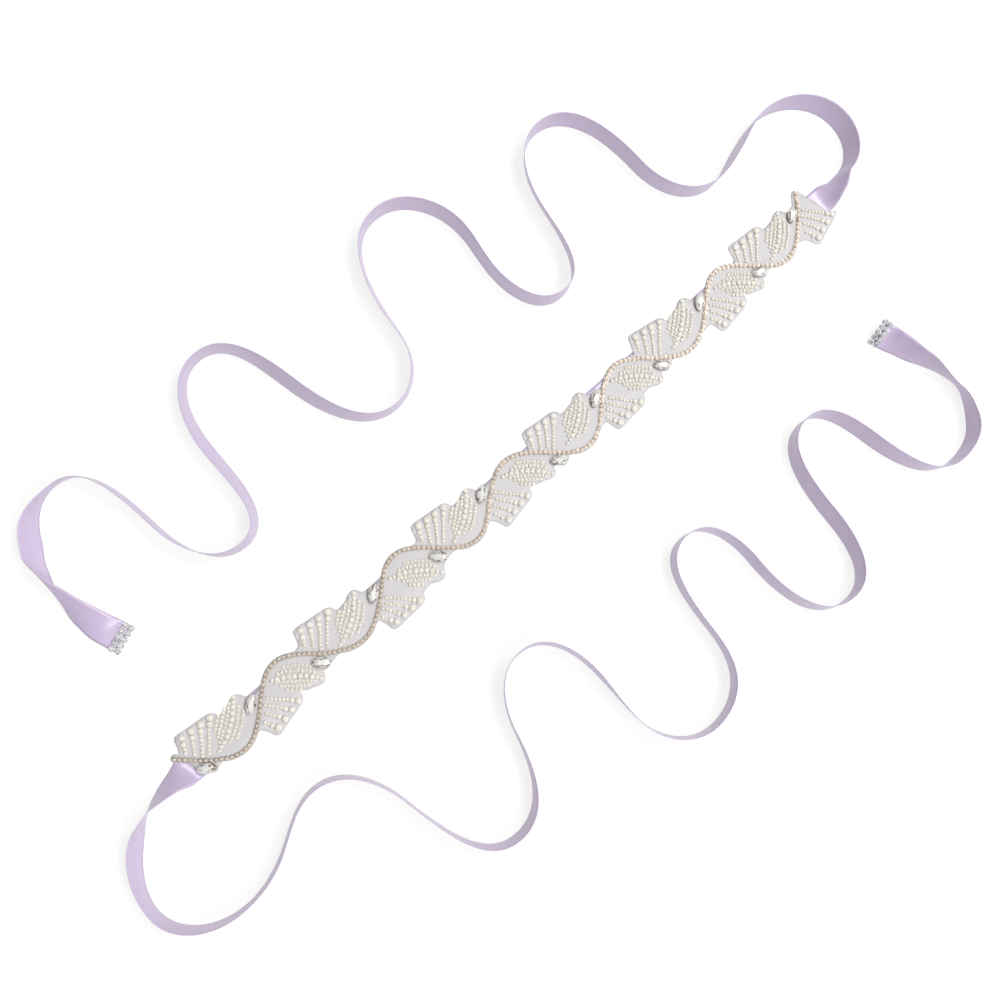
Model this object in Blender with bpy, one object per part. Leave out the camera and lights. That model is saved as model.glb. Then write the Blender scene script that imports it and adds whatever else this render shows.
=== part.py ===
"""A bridal sash laid out on a table: one long satin ribbon, a beaded net applique on its middle, and a
rhinestone trim on each tip.

X runs along the applique, Z is up and the sash lies on the plane z = 0. The middle of the ribbon lies flat
under the applique. Past each end of it the ribbon twists up on to its edge and runs back in waves to its tip.
The source's own origin is on the line of the applique, and the last step moves every piece so that the
origin is under the middle of the whole sash.
"""

import math
from collections import namedtuple

import bmesh
import bpy
from mathutils import Matrix, Vector
from mathutils.geometry import interpolate_bezier

MM = 0.001
GAP = 0.3 * MM  # between pieces that lie on or against each other

# The ribbon, 16 mm satin. It is flat under the applique.
RIBBON_WIDTH = 16 * MM
RIBBON_WALL = 1 * MM
RIBBON_Y = 4.2 * MM
FLAT_FROM_X = -214 * MM
FLAT_TO_X = 262 * MM

# A row for each fold of a tail, and one for each run between two folds. Heading is the way that the ribbon
# runs, counter-clockwise from +X. Lean is how far its top edge tips to the left of that way, and 90 is flat.
# Skew is how far the top edge runs ahead of the floor edge, in ribbon widths: cloth folds over along a slant.
Row = namedtuple("Row", "x_mm y_mm heading_deg lean_deg skew", defaults=(0,))
UPPER_TAIL = [
    Row(262, 4.2, 0, -90),
    Row(272, 5.2, 2, -42),
    Row(283, 8.4, 6, -12),
    Row(302.3, 31, 87, -11),
    Row(265, 65.3, 180, 0),
    Row(241, 59.2, 197, 9),
    Row(217, 53.2, 180, 2),
    Row(188, 90, 91, -1),
    Row(158, 142.8, 180, -3),
    Row(128.3, 105, 261, -14),
    Row(104, 62.4, 180, -3),
    Row(82, 100, 86, -3),
    Row(84.5, 131, 97, -6),
    Row(54, 163.2, 180, -4),
    Row(21, 120, 261, -15),
    Row(14.5, 90, 240, -10),
    Row(-9, 75.2, 180, -2),
    Row(-44.5, 125, 101, -17),
    Row(-71, 164.2, 180, -2),
    Row(-99.8, 120, 268, -21),
    Row(-119, 72.4, 180, -6),
    Row(-146, 108, 96, 6),
    Row(-171, 160.2, 180, 6),
    Row(-198, 145, 243, -30),
    Row(-202.9, 136.1, 250, -25, -0.55),
    Row(-206.2, 119.7, 267, 5, -1.1),
    Row(-205.6, 110, 280, 39, -0.8),
    Row(-204, 101.6, 283, 53, -0.45),
    Row(-200.6, 88.3, 288, 80),
    Row(-198.3, 81.7, 289, 90),
    Row(-196.3, 76, 289, 90),
]
LOWER_TAIL = [
    Row(-214, 4.2, 180, 90),
    Row(-224, 4.6, 182, 42),
    Row(-234, 4, 189, 22),
    Row(-243, 2.2, 205, 4),
    Row(-259, -7.6, 224, -20),
    Row(-272.9, -35, 263, -7),
    Row(-239, -67.4, 358, -1),
    Row(-208, -59.5, 29, -5),
    Row(-177, -46.3, 0, -3),
    Row(-144.8, -83, 280, 1),
    Row(-113, -138, 0, -3),
    Row(-79.5, -99, 75, 2),
    Row(-50, -67.8, 0, 8),
    Row(-25, -108, 269, -1),
    Row(-25.3, -138, 274, -6),
    Row(4, -169.3, 0, 3),
    Row(29, -158, 52, 5),
    Row(37.8, -127, 86, 4),
    Row(61, -83.2, 0, 3),
    Row(82, -119, 267, 2),
    Row(110, -172, 0, 6),
    Row(134, -129, 88, -8),
    Row(159, -82, 0, 5),
    Row(183, -117, 282, 8),
    Row(214, -158.9, 0, -3),
    Row(235.9, -151.3, 48, 0),
    Row(242.7, -140.5, 64, 9),
    Row(245.4, -127.3, 100, 20),
    Row(239.7, -102.2, 113, -14),
    Row(235.2, -86.5, 109, -40),
    Row(233.6, -79.6, 109, -56),
    Row(231.9, -74.1, 110, -56),
]
# Each tail is modelled in five stretches, which end at these rows
UPPER_ENDS = (7, 12, 17, 21)
LOWER_ENDS = (7, 11, 17, 21)
MOST_TURN = math.radians(15)  # from one section of a tail to the next
MOST_TWIST = math.radians(12)
LONGEST_STEP = 16 * MM

# The applique. One fan and one leaf fill the way from a crystal to the next, on alternate sides of the middle
# line, and the crystal is at the leaf's tip. Everything here is in millimetres and degrees.
Crossing = namedtuple("Crossing", "x_mm y_mm peak_y_mm")  # of the middle line by the vine, and the swing after it
Place = namedtuple("Place", "x_mm y_mm tilt_deg")  # middle of a piece, and its tilt from the middle line
VINE = [
    Crossing(-208.3, 3.4, -7.8),
    Crossing(-168.3, 3.4, 15.8),
    Crossing(-128.3, 4.1, -6.8),
    Crossing(-83.8, 4.0, 16.0),
    Crossing(-44.3, 4.2, -7.8),
    Crossing(-4.3, 4.2, 13.9),
    Crossing(39.3, 0.2, -10.6),
    Crossing(79.0, 1.4, 13.0),
    Crossing(121.3, 0.4, -8.8),
    Crossing(163.3, 2.3, 14.6),
    Crossing(203.3, 2.4, -7.8),
    Crossing(242.9, 4.0, None),
]
VINE_START, VINE_END = (-217.6, 12.9), (254.0, 17.2)
CRYSTALS = [
    Place(-208.5, -1.8, 33),
    Place(-170.8, 7.8, 38),
    Place(-129.8, -0.8, 38),
    Place(-85.6, 8.2, 38),
    Place(-46.0, -0.6, 43),
    Place(-5.6, 9.2, 37),
    Place(39.5, -5.6, 33),
    Place(78.8, 6.3, 30),
    Place(121.5, -4.8, 33),
    Place(163.3, 7.7, 42),
    Place(203.5, -2.6, 27),
    Place(242.5, 9.7, 35),
]
FANS = [  # the middle of the first row's large pearl, and how the line through the large pearls nears the vine
    Place(-208.0, 18.5, 6),
    Place(-168.5, -11.0, 12),
    Place(-127.0, 19.0, 6.5),
    Place(-86.5, -11.5, 0),
    Place(-43.5, 19.0, 5),
    Place(-4.0, -11.0, 8.5),
    Place(37.0, 16.6, 5),
    Place(80.5, -12.8, 2.5),
    Place(120.5, 17.2, 8.5),
    Place(166.0, -11.2, 6),
    Place(202.6, 17.6, 3),
    Place(246.0, -10.5, 16),
]
LEAVES = [
    Place(-184.3, 6.5, 36),
    Place(-145.5, 1.5, 40),
    Place(-103.0, 6.3, 35),
    Place(-61.5, -0.4, 36),
    Place(-20.5, 6.5, 36),
    Place(22.0, 0.5, 39),
    Place(63.0, 5.0, 35),
    Place(105.0, -1.0, 40),
    Place(147.0, 5.5, 37),
    Place(189.5, 0.0, 38),
    Place(227.5, 6.5, 40),
]

NET_WALL = 1 * MM
NET_Z = RIBBON_WALL + GAP  # underside of the net
# The net's cut edge, in mm. Round a fan x runs along its large pearls, and round a leaf along the middle line.
FAN_EDGE = (
    (-5.7, -5.6),
    (-4.5, -1.6),
    (-3.8, 1.4),
    (-1.5, 2.9),
    (5.8, 2.7),
    (11.8, 2.6),
    (17.2, 2.3),
    (20.0, 0.9),
    (21.8, -1.8),
)
LAST_FAN_EDGE_POINTS = 7
LEAF_EDGE = ((1.5, 8.5), (4.2, 9.2), (7.2, 10.7), (10.4, 10.7), (12.5, 8.8), (13.8, 6.6))
CRYSTAL_EDGE_ABOVE, CRYSTAL_EDGE_BELOW = (2.5, 2.4), (1.5, 4.3)  # from a crystal's middle
VINE_EDGE = 1.6  # outside the middle of the bead string
VINE_EDGE_FROM, VINE_EDGE_TO, VINE_EDGE_POINTS = 0.2, 0.76, 7  # shares of the way to the next crossing
LEFT_END = (
    (-213.2, 0.2),
    (-212.9, 4.2),
    (-214.6, 7.6),
    (-217.3, 10.2),
    (-219.2, 12.2),
    (-218.8, 14.6),
    (-216.4, 15.2),
)
RIGHT_END = (
    (266.2, -5.8),
    (263.4, -4.7),
    (261.4, -2.0),
    (260.2, 4.6),
    (258.2, 10.2),
    (256.7, 15.4),
    (256.0, 18.4),
    (253.6, 19.8),
    (251.0, 18.4),
    (247.8, 14.4),
)

VINE_RADIUS = 1.2 * MM
VINE_HEIGHT = 1.8 * MM
VINE_STEPS = 9  # sections from one crossing to the next
VINE_END_STEPS = 3

FAN_ROWS = 4
FAN_PITCH = 5.6  # from one large pearl to the next
FAN_ANGLE_DEG, FAN_ANGLE_STEP_DEG = 62, -6  # of each row, from the middle line
FAN_ROW, FAN_ROW_STEP = 8.6, 2.9  # a row's length from its first bead to its large pearl
BeadRing = namedtuple("BeadRing", "share radius_mm")  # share of the way along a row of beads
FAN_RINGS = (
    BeadRing(0.0, 0.75),
    BeadRing(0.62, 0.8),
    BeadRing(0.7, 1.25),
    BeadRing(0.78, 0.8),
    BeadRing(0.86, 1.1),
    BeadRing(1.0, 1.8),
    BeadRing(1.12, 1.1),
)

LEAF_LENGTH, LEAF_BREADTH = 24.5 * MM, 11.5 * MM
LEAF_RAISE = 0.9 * MM
LEAF_CROWN = 0.6  # share of its outline that the raised top keeps
LEAF_SIDES = 16
LEAF_PEARLS = 8
LEAF_PEARL_RADIUS = 1.3
LEAF_WAIST = 0.55  # between two pearls, as a share of their radius
LEAF_SPINE = 21.0  # length of the leaf's middle row of pearls

CRYSTAL_LENGTH, CRYSTAL_BREADTH = 10.6 * MM, 5.0 * MM
CrystalRing = namedtuple("CrystalRing", "z_mm share")  # height and share of the outline
CRYSTAL_RINGS = (CrystalRing(0.0, 0.86), CrystalRing(0.9, 1.0), CrystalRing(1.4, 1.0), CrystalRing(2.7, 0.5))
CRYSTAL_SIDES = 12
POINTED = 1.25  # power that draws an oval's ends to points

STONE_ROWS, STONES_ACROSS = 2, 5  # of each tip's rhinestone trim
STONE_PITCH = 3.45 * MM
STONE_RADIUS = 1.6 * MM
STONE_OVERHANG = 1.5 * MM  # of the outer row past the ribbon's end
STONE_SIDES = 8
STONE_BASE = 0.7 * MM
STONE_RINGS = ((0.35 * MM, 1.0), (1.0 * MM, 1.0), (1.7 * MM, 0.55))  # height, share of the radius

COLOURS = {  # base colour, metallic, roughness
    "satin": ((0.55, 0.47, 0.64), 0.0, 0.4),
    "net": ((0.75, 0.75, 0.77), 0.0, 0.6),
    "champagne": ((0.66, 0.55, 0.42), 0.6, 0.35),
    "crystal": ((0.85, 0.85, 0.87), 0.2, 0.08),
    "silver": ((0.72, 0.72, 0.74), 0.7, 0.2),
}


def material(name):
    """The Principled material of this finish, made the first time it is asked for."""
    found = bpy.data.materials.get(name)
    if found:
        return found
    made = bpy.data.materials.new(name)
    made.use_nodes = True
    colour, metallic, roughness = COLOURS[name]
    shader = made.node_tree.nodes["Principled BSDF"]
    shader.inputs["Base Color"].default_value = (*colour, 1)
    shader.inputs["Metallic"].default_value = metallic
    shader.inputs["Roughness"].default_value = roughness
    made.diffuse_color = (*colour, 1)
    return made


def put_in_scene(name, bm, finish):
    """The finished bmesh as an object of its own."""
    bmesh.ops.recalc_face_normals(bm, faces=bm.faces)
    mesh = bpy.data.meshes.new(name)
    bm.to_mesh(mesh)
    bm.free()
    mesh.materials.append(material(finish))
    made = bpy.data.objects.new(name, mesh)
    bpy.context.scene.collection.objects.link(made)
    return made


def loft(bm, sections):
    """A closed solid through rings of points, each joined to the next, with the two end rings filled."""
    rings = [[bm.verts.new(point) for point in section] for section in sections]
    for one, two in zip(rings, rings[1:]):
        for i in range(len(one)):
            j = (i + 1) % len(one)
            bm.faces.new((one[i], one[j], two[j], two[i]))
    bm.faces.new(reversed(rings[0]))
    bm.faces.new(rings[-1])


# The ribbon


def flat_vector(angle, length=1.0):
    return Vector((math.cos(angle), math.sin(angle), 0)) * length


def steady_slopes(values):
    """A slope at each value that keeps the curve through them from swinging past any of them."""
    steps = [b - a for a, b in zip(values, values[1:])]
    inner = [2 * a * b / (a + b) if a * b > 0 else 0.0 for a, b in zip(steps, steps[1:])]
    return [0.0, *inner, 0.0]


def run_between(one, two):
    """Bezier points from a row of a tail to the next. Its handles would draw a round bend as an arc."""
    start, end = (Vector((row.x_mm, row.y_mm, 0)) * MM for row in (one, two))
    turn = math.remainder(math.radians(two.heading_deg - one.heading_deg), math.tau)
    reach = (end - start).length * 2 / 3 / (1 + math.cos(turn / 2))
    twist = math.radians(two.lean_deg - one.lean_deg)
    steps = max(abs(turn) / MOST_TURN, abs(twist) / MOST_TWIST, (end - start).length / LONGEST_STEP)
    steps = max(2, math.ceil(steps))
    out_handle = start + flat_vector(math.radians(one.heading_deg), reach)
    in_handle = end - flat_vector(math.radians(two.heading_deg), reach)
    return interpolate_bezier(start, out_handle, in_handle, end, steps + 1)


def value_between(values, slopes, i, t):
    """The smooth curve's value past number i, a share t of the way to the next."""
    return (
        values[i] * (1 + 2 * t) * (1 - t) ** 2
        + slopes[i] * t * (1 - t) ** 2
        + values[i + 1] * t * t * (3 - 2 * t)
        + slopes[i + 1] * t * t * (t - 1)
    )


def tail_places(rows):
    """For each section of a tail: which row it is past, its place, its lean and its skew."""
    leans = [math.radians(row.lean_deg) for row in rows]
    skews = [row.skew for row in rows]
    lean_slopes, skew_slopes = steady_slopes(leans), steady_slopes(skews)
    places = []
    for i, (one, two) in enumerate(zip(rows, rows[1:])):
        points = run_between(one, two)
        last = len(points) - 1
        for k, point in enumerate(points[: last + (i == len(rows) - 2)]):
            t = k / last
            lean = value_between(leans, lean_slopes, i, t)
            places.append((i + t, point, lean, value_between(skews, skew_slopes, i, t)))
    return places


def ribbon_frame(place, heading, lean, skew=0):
    """Matrix of the ribbon there: X along it, Y from its floor edge to its top edge, Z out of its face."""
    along = heading.normalized()
    left = Vector((0, 0, 1)).cross(along)
    across = Vector((0, 0, math.cos(lean))) + left * math.sin(lean)
    middle_z = (RIBBON_WIDTH * abs(math.cos(lean)) + RIBBON_WALL * abs(math.sin(lean))) / 2
    frame = Matrix((along, across + along * skew, along.cross(across))).transposed().to_4x4()
    frame.translation = place + Vector((0, 0, middle_z))
    return frame


def tail_frames(rows):
    """The ribbon's frame at every section of a tail, each with the row that it is past."""
    places = tail_places(rows)
    frames = []
    for i, (past, place, lean, skew) in enumerate(places):
        if i in (0, len(places) - 1):
            row = rows[0] if i == 0 else rows[-1]
            heading = flat_vector(math.radians(row.heading_deg))
        else:
            heading = places[i + 1][1] - places[i - 1][1]
        frames.append((past, ribbon_frame(place, heading, lean, skew)))
    return frames


def wall_section(frame, shift=0.0):
    """The four corners of the ribbon's wall at a frame, moved along it by shift."""
    w, t = RIBBON_WIDTH / 2, RIBBON_WALL / 2
    return [frame @ Vector((shift, y, z)) for y, z in ((-w, -t), (w, -t), (w, t), (-w, t))]


def make_tail(name, rows, ends):
    """The stretches of one tail, and the frame of its tip."""
    frames = tail_frames(rows)
    bounds = (0, *ends, len(rows) - 1)
    for number, (first, last) in enumerate(zip(bounds, bounds[1:]), start=1):
        here = [frame for past, frame in frames if first <= past <= last]
        sections = [wall_section(frame) for frame in here[1:-1]]
        sections.insert(0, wall_section(here[0], GAP / 2))
        tip = 0 if last == len(rows) - 1 else GAP / 2
        sections.append(wall_section(here[-1], -tip))
        bm = bmesh.new()
        loft(bm, sections)
        put_in_scene(f"{name}_{number}", bm, "satin")
    return frames[-1][1]


def make_flat_ribbon():
    """The ribbon's middle, which lies flat under the applique."""
    bm = bmesh.new()
    ends = [
        ribbon_frame(Vector((x, RIBBON_Y, 0)), Vector((1, 0, 0)), math.radians(-90))
        for x in (FLAT_FROM_X + GAP / 2, FLAT_TO_X - GAP / 2)
    ]
    loft(bm, [wall_section(frame) for frame in ends])
    put_in_scene("ribbon_middle", bm, "satin")


# The applique


def side_of(number):
    """+1 where this fan and leaf are above the middle line, and -1 below it."""
    return 1 if number % 2 == 0 else -1


def trim_frame(place, side, tilt_deg, z):
    """Matrix of a piece of the applique: X along it, tilted away from the middle line on its side, Z up."""
    frame = Matrix.Rotation(side * math.radians(tilt_deg), 4, "Z")
    frame.translation = (place.x_mm * MM, place.y_mm * MM, z)
    return frame


def vine_point(number, share, outside=0.0):
    """A point of the vine in plan, at this share of the way to its next crossing, moved out of the swing."""
    one, two = VINE[number], VINE[number + 1]
    swing = one.peak_y_mm - (one.y_mm + two.y_mm) / 2
    run, rise = two.x_mm - one.x_mm, two.y_mm - one.y_mm
    y = one.y_mm + share * rise + swing * math.sin(math.pi * share)
    slope = math.atan((rise + math.pi * swing * math.cos(math.pi * share)) / run)
    away = math.copysign(outside, swing)
    point = Vector((one.x_mm + share * run - away * math.sin(slope), y + away * math.cos(slope), 0))
    return point * MM


def fan_edge(number):
    """The net's edge round a fan. The last fan's edge runs on into the net's right end."""
    side = side_of(number)
    frame = trim_frame(FANS[number], side, -FANS[number].tilt_deg, 0)
    points = FAN_EDGE if number < len(LEAVES) else FAN_EDGE[:LAST_FAN_EDGE_POINTS]
    return [frame @ (Vector((x, side * y, 0)) * MM) for x, y in points]


def leaf_edge(number):
    """The net's edge round a leaf and past the crystal at its tip."""
    side, leaf, crystal = side_of(number), LEAVES[number], CRYSTALS[number + 1]
    points = [(leaf.x_mm + x, leaf.y_mm + side * y) for x, y in LEAF_EDGE]
    points.append(crystal_edge(crystal, side))
    return [Vector((x, y, 0)) * MM for x, y in points]


def crystal_edge(crystal, side):
    x, y = CRYSTAL_EDGE_ABOVE if side > 0 else CRYSTAL_EDGE_BELOW
    return crystal.x_mm + x, crystal.y_mm + side * y


def net_outline():
    """The net's cut edge, counter-clockwise: the lower edge, the right end, the upper edge and the left end."""
    upper, lower = [], [Vector((*crystal_edge(CRYSTALS[0], -1), 0)) * MM]
    for number in range(len(FANS)):
        flowers, vines = (upper, lower) if side_of(number) > 0 else (lower, upper)
        flowers.extend(fan_edge(number))
        if number < len(LEAVES):
            flowers.extend(leaf_edge(number))
            for i in range(VINE_EDGE_POINTS):
                share = VINE_EDGE_FROM + (VINE_EDGE_TO - VINE_EDGE_FROM) * i / (VINE_EDGE_POINTS - 1)
                vines.append(vine_point(number, share, VINE_EDGE))
    left, right = ([Vector((x, y, 0)) * MM for x, y in end] for end in (LEFT_END, RIGHT_END))
    return [*lower, *right, *reversed(upper), *reversed(left)]


def make_net():
    """The net as one wall with a plain underside, and the fans' and leaves' beadwork raised on it."""
    bm = bmesh.new()
    underside = bm.faces.new([bm.verts.new(point + Vector((0, 0, NET_Z))) for point in net_outline()])
    raised = bmesh.ops.extrude_face_region(bm, geom=[underside])["geom"]
    top = [v for v in raised if isinstance(v, bmesh.types.BMVert)]
    bmesh.ops.translate(bm, verts=top, vec=(0, 0, NET_WALL))
    net = put_in_scene("net_applique", bm, "net")
    for name, build in (("leaf_mounds", leaf_mounds), ("bead_rows", bead_rows)):
        raised_shapes = bmesh.new()
        build(raised_shapes)
        join_to(net, name, raised_shapes, "net")


def join_to(piece, name, bm, finish):
    """Joins the closed shapes in a bmesh to a piece."""
    shapes = put_in_scene(name, bm, finish)
    shapes.hide_render = True
    shapes.display_type = "WIRE"
    union = piece.modifiers.new(name, "BOOLEAN")
    union.operation = "UNION"
    union.object = shapes
    union.solver = "EXACT"


def pointed_oval(length, breadth, sides):
    """Points round a leaf or a navette, from one point round to the other and back."""
    points = []
    for i in range(sides):
        turn = math.tau * i / sides
        y = math.copysign(abs(math.sin(turn)) ** POINTED, math.sin(turn))
        points.append(Vector((math.cos(turn) * length / 2, y * breadth / 2, 0)))
    return points


def ring_angles(sides):
    return [math.tau * (i + 0.5) / sides for i in range(sides)]


def leaf_mounds(bm):
    """The padded leaves, pointed at both ends and sunk a little in the net."""
    outline = pointed_oval(LEAF_LENGTH, LEAF_BREADTH, LEAF_SIDES)
    levels = ((-NET_WALL / 2, 1.0), (LEAF_RAISE / 6, 1.0), (LEAF_RAISE, LEAF_CROWN))
    for number, leaf in enumerate(LEAVES):
        frame = trim_frame(leaf, side_of(number), leaf.tilt_deg, NET_Z + NET_WALL)
        loft(bm, [[frame @ Vector((p.x * share, p.y * share, z)) for p in outline] for z, share in levels])


def bead_string(bm, frame, rings):
    """A string of beads along X, as one closed shape that is half sunk in what carries it."""
    sections = []
    for x_mm, radius_mm in rings:
        ring = [Vector((x_mm, radius_mm * math.cos(a), radius_mm * math.sin(a))) for a in ring_angles(6)]
        sections.append([frame @ (point * MM) for point in ring])
    loft(bm, sections)


def bead_rows(bm):
    """The fans' rows, each ending in a large pearl, and the middle row of pearls on each leaf."""
    top = NET_Z + NET_WALL
    for number, fan in enumerate(FANS):
        side = side_of(number)
        line = flat_vector(-side * math.radians(fan.tilt_deg))
        for row in range(FAN_ROWS):
            pearl = Vector((fan.x_mm, fan.y_mm, 0)) + line * FAN_PITCH * row
            length = FAN_ROW + row * FAN_ROW_STEP
            frame = trim_frame(Place(pearl.x, pearl.y, 0), side, FAN_ANGLE_DEG + row * FAN_ANGLE_STEP_DEG, top)
            bead_string(bm, frame, [((ring.share - 1) * length, ring.radius_mm) for ring in FAN_RINGS])
    step = LEAF_SPINE / LEAF_PEARLS
    waist = LEAF_PEARL_RADIUS * LEAF_WAIST
    rings = [(-LEAF_SPINE / 2, waist)]
    for pearl in range(LEAF_PEARLS):
        middle = -LEAF_SPINE / 2 + (pearl + 0.5) * step
        rings += [(middle, LEAF_PEARL_RADIUS), (middle + step / 2, waist)]
    for number, leaf in enumerate(LEAVES):
        frame = trim_frame(leaf, side_of(number), leaf.tilt_deg, top + LEAF_RAISE * LEAF_CROWN)
        bead_string(bm, frame, rings)


def vine_points():
    """The middle of the vine in plan, from its left end to its right end."""
    start, end = (Vector((*point, 0)) * MM for point in (VINE_START, VINE_END))
    last = len(VINE) - 1
    first_crossing, last_crossing = vine_point(0, 0), vine_point(last - 1, 1)
    points = [start.lerp(first_crossing, i / VINE_END_STEPS) for i in range(VINE_END_STEPS)]
    points += [vine_point(number, i / VINE_STEPS) for number in range(last) for i in range(VINE_STEPS)]
    points += [last_crossing.lerp(end, i / VINE_END_STEPS) for i in range(VINE_END_STEPS + 1)]
    return points


def make_vine():
    """The bead string that swings from side to side along the applique, with a flat underside on the net."""
    bm = bmesh.new()
    base = Vector((0, 0, NET_Z + NET_WALL + GAP))
    arch = [(VINE_RADIUS * math.cos(a), VINE_HEIGHT * math.sin(a)) for a in (math.pi * i / 4 for i in range(5))]
    points = vine_points()
    sections = []
    for i, point in enumerate(points):
        along = points[min(i + 1, len(points) - 1)] - points[max(i - 1, 0)]
        left = Vector((0, 0, 1)).cross(along.normalized())
        sections.append([point + base + left * y + Vector((0, 0, z)) for y, z in arch])
    loft(bm, sections)
    put_in_scene("vine_beads", bm, "champagne")


def make_crystals():
    """A navette in its claw setting at the end of each leaf, and one at the applique's left end."""
    outline = pointed_oval(CRYSTAL_LENGTH, CRYSTAL_BREADTH, CRYSTAL_SIDES)
    for number, crystal in enumerate(CRYSTALS):
        frame = trim_frame(crystal, -side_of(number), crystal.tilt_deg, NET_Z + NET_WALL + GAP)
        bm = bmesh.new()
        sections = []
        for ring in CRYSTAL_RINGS:
            z = ring.z_mm * MM
            sections.append([frame @ Vector((p.x * ring.share, p.y * ring.share, z)) for p in outline])
        loft(bm, sections)
        put_in_scene(f"crystal_{number + 1:02d}", bm, "crystal")


# The tips


def make_tip_trim(name, tip):
    """Two rows of round stones in cups across the end of the ribbon, on the face that looks up."""
    up = 1 if tip.col[2].z > 0 else -1
    length, width = STONE_ROWS * STONE_PITCH, STONES_ACROSS * STONE_PITCH
    low = RIBBON_WALL / 2 + GAP
    tip = tip @ Matrix.Translation((STONE_OVERHANG, 0, 0))
    corners = ((-length, -width / 2), (0, -width / 2), (0, width / 2), (-length, width / 2))
    bm = bmesh.new()
    loft(bm, [[tip @ Vector((x, y, up * z)) for x, y in corners] for z in (low, low + STONE_BASE)])
    base = put_in_scene(name, bm, "silver")
    circle = [flat_vector(angle, STONE_RADIUS) for angle in ring_angles(STONE_SIDES)]
    cups = bmesh.new()
    for row in range(STONE_ROWS):
        for stone in range(STONES_ACROSS):
            middle = Vector((-(row + 0.5) * STONE_PITCH, (stone + 0.5) * STONE_PITCH - width / 2, 0))
            sections = []
            for height, share in STONE_RINGS:
                lift = Vector((0, 0, up * (low + height)))
                sections.append([tip @ (middle + point * share + lift) for point in circle])
            loft(cups, sections)
    join_to(base, f"{name}_cups", cups, "silver")


def centre_on_origin():
    """Moves every piece so that the origin is under the middle of the sash."""
    bpy.context.view_layer.update()
    solids = [obj for obj in bpy.context.scene.objects if not obj.hide_render]
    corners = [Vector(corner) for obj in solids for corner in obj.bound_box]
    shift = [-(max(c[i] for c in corners) + min(c[i] for c in corners)) / 2 for i in (0, 1)]
    for obj in bpy.context.scene.objects:
        obj.data.transform(Matrix.Translation((*shift, 0)))
    print(f"The source's origin ends at x {shift[0] / MM:.2f} mm, y {shift[1] / MM:.2f} mm")


def main():
    for obj in list(bpy.data.objects):
        bpy.data.objects.remove(obj)
    make_flat_ribbon()
    make_tip_trim("tip_trim_upper", make_tail("tail_upper", UPPER_TAIL, UPPER_ENDS))
    make_tip_trim("tip_trim_lower", make_tail("tail_lower", LOWER_TAIL, LOWER_ENDS))
    make_net()
    make_vine()
    make_crystals()
    centre_on_origin()


main()
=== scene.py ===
# %% [markdown]
# # A bridal sash, laid out flat
#
# The sash is one long satin ribbon. Its middle lies flat under a band of cut net that carries pearls, seed
# beads, a chain of small claw-set stones and twelve pointed crystals. Past the net the ribbon twists up on
# to its edge and runs away in waves, and each tip ends in two rows of round stones.
#
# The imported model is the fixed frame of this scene. Every piece below is built where its solid stands, in
# metres.

import math
import random
from collections import namedtuple

import bmesh
import bpy
from mathutils import Matrix, Vector, noise
from mathutils.geometry import delaunay_2d_cdt, interpolate_bezier


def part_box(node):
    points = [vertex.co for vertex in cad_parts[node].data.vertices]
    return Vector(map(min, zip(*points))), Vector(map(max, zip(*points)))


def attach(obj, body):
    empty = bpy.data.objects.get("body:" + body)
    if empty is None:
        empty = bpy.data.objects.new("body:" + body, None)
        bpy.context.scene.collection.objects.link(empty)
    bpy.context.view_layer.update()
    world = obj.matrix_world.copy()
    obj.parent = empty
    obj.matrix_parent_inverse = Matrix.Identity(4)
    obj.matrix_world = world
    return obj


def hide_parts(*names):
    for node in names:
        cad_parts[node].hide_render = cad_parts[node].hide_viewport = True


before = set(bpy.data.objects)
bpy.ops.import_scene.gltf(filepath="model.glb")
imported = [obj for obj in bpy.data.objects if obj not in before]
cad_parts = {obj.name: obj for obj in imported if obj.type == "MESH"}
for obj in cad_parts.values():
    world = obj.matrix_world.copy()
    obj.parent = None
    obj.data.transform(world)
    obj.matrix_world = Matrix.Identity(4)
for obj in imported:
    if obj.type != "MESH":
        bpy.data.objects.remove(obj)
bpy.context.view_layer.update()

# %% [markdown]
# ## The workbench
#
# All measures of the sash are written in millimetres, from the middle line of the net. The solids' own
# origin is under the middle of the whole sash, so one shift takes a measure into the frame. It is read from
# the solid of the ribbon's middle, which starts 213.85 mm to the left and 3.8 mm below.

# %% Measures
MM = 0.001
RIBBON_WIDTH = 16.0
RIBBON_Y = 4.2  # middle line of the ribbon's flat stretch
FLAT_FROM_X, FLAT_TO_X = -214.0, 262.0
CUT_GAP = 0.3  # between two solids of the ribbon
low_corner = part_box("ribbon_middle")[0]
SHIFT = Vector((
    low_corner.x / MM - FLAT_FROM_X - CUT_GAP / 2, low_corner.y / MM - RIBBON_Y + RIBBON_WIDTH / 2, 0
))


def place(x, y, z=0.0):
    """A point of the frame, in metres, from millimetres along the net, across it and up."""
    return (Vector((x, y, z)) + SHIFT) * MM


print(f"Shift of {SHIFT.x:.2f}, {SHIFT.y:.2f} mm")

# %% [markdown]
# Each piece becomes one object whose place is in its mesh. It rides on the body "root" with the rest of the
# sash, takes over from the solids that stand for it, and has smooth or faceted faces.

# %% Helper: finish a piece
dice = random.Random(7)
LEVEL = 0.97  # upward part of a facet's normal from which it counts as level


def to_mesh(name, bm):
    """A mesh from a bmesh, which is freed."""
    mesh = bpy.data.meshes.new(name)
    bm.to_mesh(mesh)
    bm.free()
    return mesh


def add_object(name, data):
    """An object of the scene with this data."""
    made = bpy.data.objects.new(name, data)
    bpy.context.scene.collection.objects.link(made)
    return made


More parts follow.
